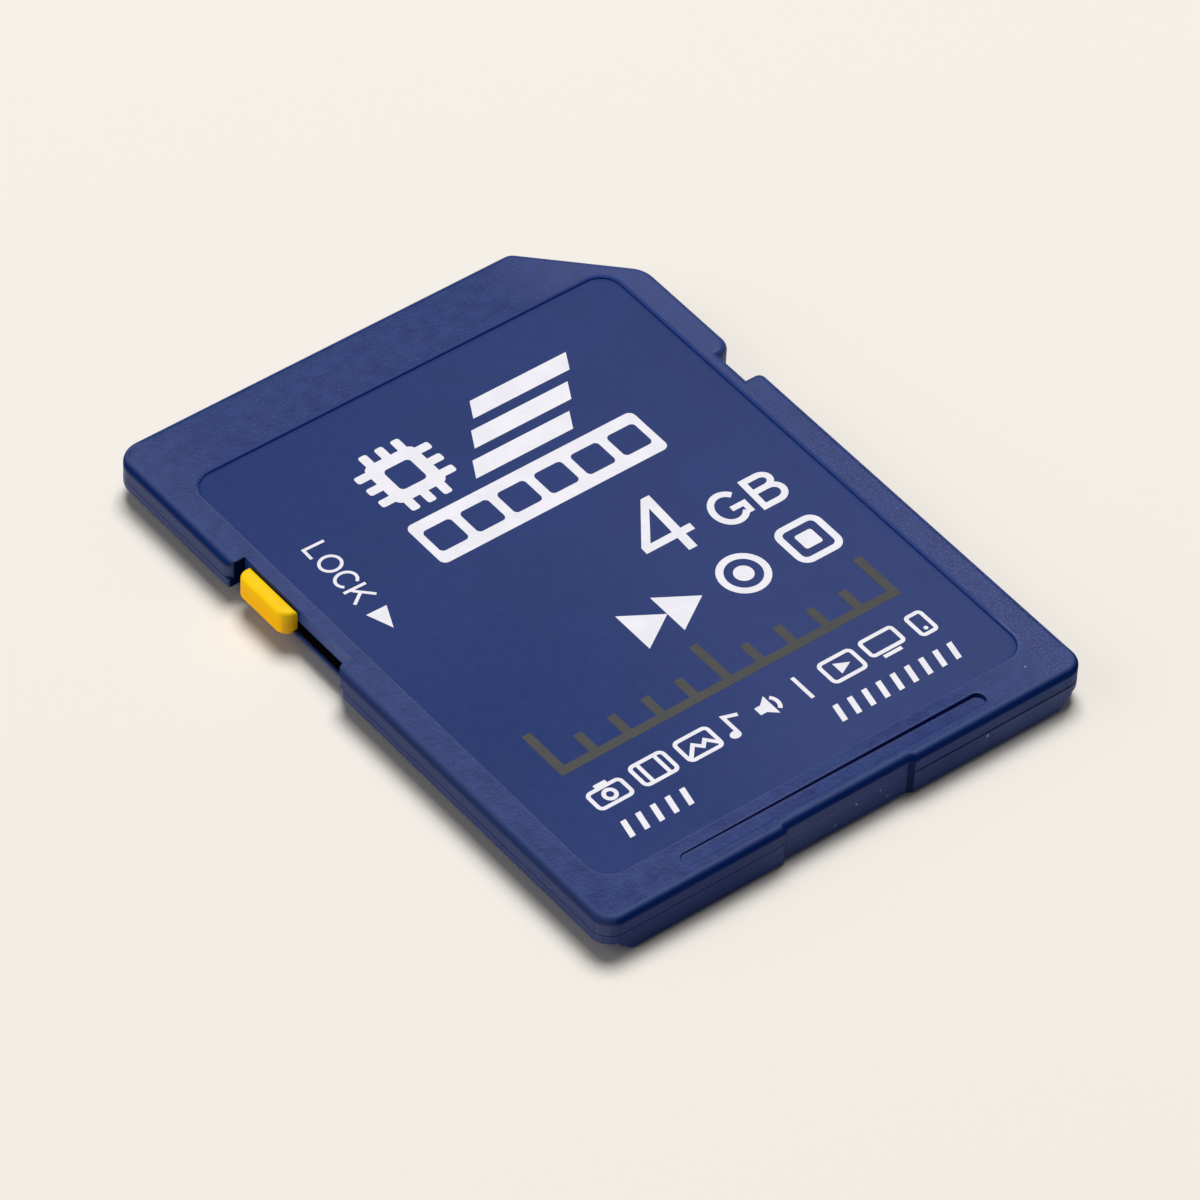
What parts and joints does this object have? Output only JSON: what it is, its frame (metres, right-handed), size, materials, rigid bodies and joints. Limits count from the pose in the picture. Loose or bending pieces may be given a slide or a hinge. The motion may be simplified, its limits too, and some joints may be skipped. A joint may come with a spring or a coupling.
{
  "type": "memory card",
  "caption": "Flat memory card with a cut corner, thin side rails, recessed gold contacts on the back and a sliding write-lock tab.",
  "frame": {"origin": "middle of the card's footprint on the back face", "axes": "+Z towards the label face, +Y towards the contact end that goes into the socket, +X towards the side with the cut corner"},
  "size_m": [0.024, 0.032, 0.0021],
  "materials": {
    "shell": "fine moulded grain",
    "label": "smooth printed film",
    "slider": "satin moulded",
    "board": "solder resist",
    "contact": "gold plated",
    "chip": "moulded resin",
    "capacitor": "fired ceramic",
    "resistor": "glazed ceramic"
  },
  "bodies": {
    "card": {"top_shell": "shell", "bottom_shell": "shell", "front_label": "label", "circuit_board": "board", "flash_chip": "chip", "controller_chip": "chip", "contact_pad_1": "contact", "contact_pad_2": "contact", "contact_pad_3": "contact", "contact_pad_4": "contact", "contact_pad_5": "contact", "contact_pad_6": "contact", "contact_pad_7": "contact", "contact_pad_8": "contact", "contact_pad_9": "contact", "capacitor_1": "capacitor", "capacitor_2": "capacitor", "capacitor_3": "capacitor", "capacitor_4": "capacitor", "resistor_1": "resistor", "resistor_2": "resistor", "resistor_3": "resistor", "resistor_4": "resistor"},
    "slider": {"lock_slider": "slider"}
  },
  "joints": [
    {"name": "lock_slide", "type": "slide", "parent": "card", "child": "slider", "axis": [0, -1, 0], "range_m": [0, 0.003]}
  ]
}
